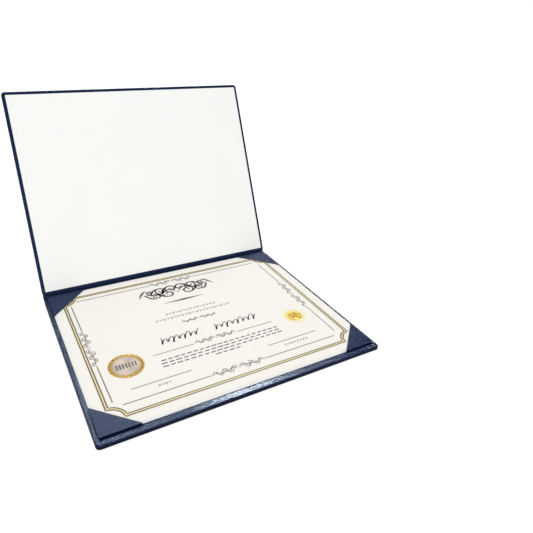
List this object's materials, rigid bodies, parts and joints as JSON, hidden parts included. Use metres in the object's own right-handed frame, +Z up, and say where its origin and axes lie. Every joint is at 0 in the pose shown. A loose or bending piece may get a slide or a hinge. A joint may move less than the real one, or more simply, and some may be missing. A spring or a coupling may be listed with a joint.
{
  "type": "diploma cover",
  "caption": "Navy leatherette diploma cover with a padded front, hinged on its long edge, a white-lined inside and a certificate held by four corner pockets.",
  "frame": {"origin": "centre of the underside of the back cover, on the table", "axes": "+X along the hinge to the right, +Y from the front edge to the hinge, +Z up from the table"},
  "size_m": [0.292, 0.3383, 0.2104],
  "materials": {
    "navy_leatherette": "fine grained leatherette, soft satin sheen",
    "board": "grey chipboard, matt",
    "white_card": "white-lined board, matt",
    "white_liner": "smooth off-white liner paper, matt",
    "certificate_paper": "cream certificate paper, matt",
    "gold_foil": "gold foil print",
    "pale_gold_foil": "pale champagne foil print",
    "foam": "thin open-cell foam"
  },
  "bodies": {
    "back_cover": {"back_board": "board", "back_wrap": "navy_leatherette", "mount_board": "white_card", "pocket_front_left": "navy_leatherette", "pocket_front_right": "navy_leatherette", "pocket_back_left": "navy_leatherette", "pocket_back_right": "navy_leatherette", "certificate": "certificate_paper", "gold_frame": "gold_foil", "seal_rim": "gold_foil", "seal_face": "pale_gold_foil", "rosette": "gold_foil"},
    "spine": {"spine_strip": "navy_leatherette"},
    "front_cover": {"front_wrap": "navy_leatherette", "front_foam": "foam", "front_board": "board", "front_liner": "white_liner"}
  },
  "joints": [
    {"name": "spine_fold", "type": "hinge", "parent": "back_cover", "child": "spine", "pos_m": [0, 0.1142, 0.00215], "axis": [1, 0, 0], "range_deg": [-31.7, 58.3]},
    {"name": "cover_fold", "type": "hinge", "parent": "spine", "child": "front_cover", "pos_m": [0, 0.1199, 0.00567], "axis": [1, 0, 0], "range_deg": [-31.7, 58.3]}
  ]
}
